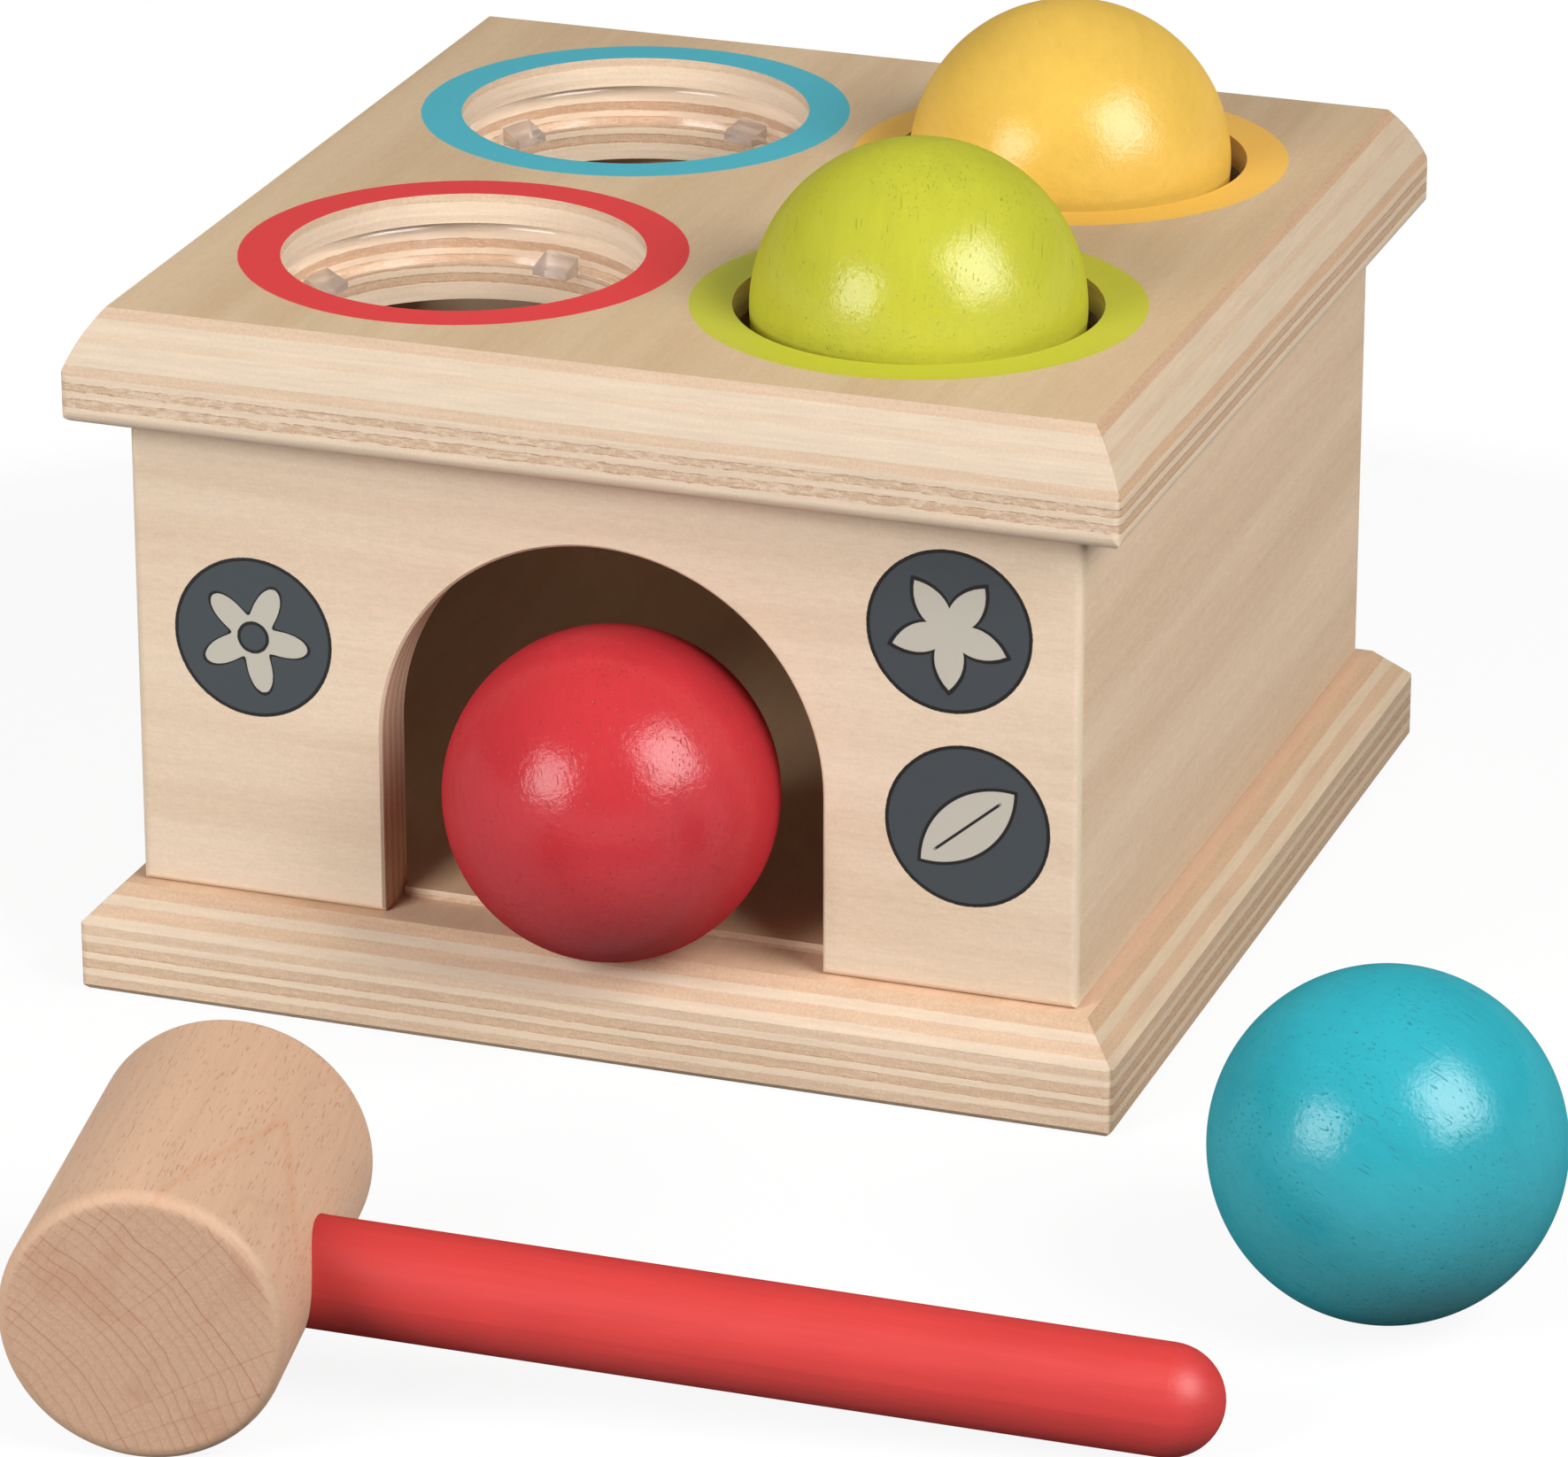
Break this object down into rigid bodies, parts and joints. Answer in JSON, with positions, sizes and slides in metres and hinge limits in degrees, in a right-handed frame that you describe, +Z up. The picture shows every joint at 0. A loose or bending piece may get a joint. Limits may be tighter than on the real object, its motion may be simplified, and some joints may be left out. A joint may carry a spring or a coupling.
{
  "type": "ball pounding box",
  "caption": "Wooden pounding toy: a plywood box with ball holes in its top, clear rings that hold the balls, a ramp to an arched front, painted balls and a hammer.",
  "frame": {"origin": "middle of the base board's underside, on the surface that the toy stands on", "axes": "+Z up; -Y out of the arched front, towards the hammer; +X to the right when the arch faces the viewer"},
  "size_m": [0.2404, 0.309, 0.1328],
  "materials": {
    "plywood_board": "sanded plywood, clear matt",
    "plywood_panel": "sanded plywood, clear matt",
    "clear_plastic": "clear soft plastic",
    "ramp_plywood": "plain plywood",
    "dowel_beech": "plain beech",
    "red_paint": "satin red paint on wood",
    "blue_paint": "satin turquoise paint on wood",
    "green_paint": "satin lime paint on wood",
    "yellow_paint": "satin yellow paint on wood",
    "hammer_beech": "sanded beech, clear matt",
    "handle_paint": "satin red paint on wood"
  },
  "bodies": {
    "box": {"base_board": "plywood_board", "front_panel": "plywood_panel", "back_panel": "plywood_panel", "left_panel": "plywood_panel", "right_panel": "plywood_panel", "top_board": "plywood_board", "ring_front_left": "clear_plastic", "ring_back_left": "clear_plastic", "ring_front_right": "clear_plastic", "ring_back_right": "clear_plastic", "ramp_board": "ramp_plywood", "ramp_cleat": "ramp_plywood", "base_dowels": "dowel_beech", "top_dowels": "dowel_beech"},
    "ball_red": {"red_ball": "red_paint"},
    "ball_blue": {"blue_ball": "blue_paint"},
    "ball_green": {"green_ball": "green_paint"},
    "ball_yellow": {"yellow_ball": "yellow_paint"},
    "hammer": {"hammer_head": "hammer_beech", "hammer_handle": "handle_paint"}
  },
  "joints": [
    {"name": "green_ball_drop", "type": "slide", "parent": "box", "child": "ball_green", "axis": [0, 0, 1], "range_m": [-0.0597, 0.06], "deforming": ["ring_front_right"]},
    {"name": "yellow_ball_drop", "type": "slide", "parent": "box", "child": "ball_yellow", "axis": [0, 0, 1], "range_m": [-0.0493, 0.06], "deforming": ["ring_back_right"]},
    {"name": "red_ball_roll_out", "type": "slide", "parent": "box", "child": "ball_red", "axis": [0, -1, 0], "range_m": [0, 0.05]},
    {"name": "blue_ball_lift", "type": "slide", "parent": "box", "child": "ball_blue", "axis": [0, 0, 1], "range_m": [0, 0.12]},
    {"name": "hammer_lift", "type": "slide", "parent": "box", "child": "hammer", "axis": [0, 0, 1], "range_m": [0, 0.15]}
  ]
}
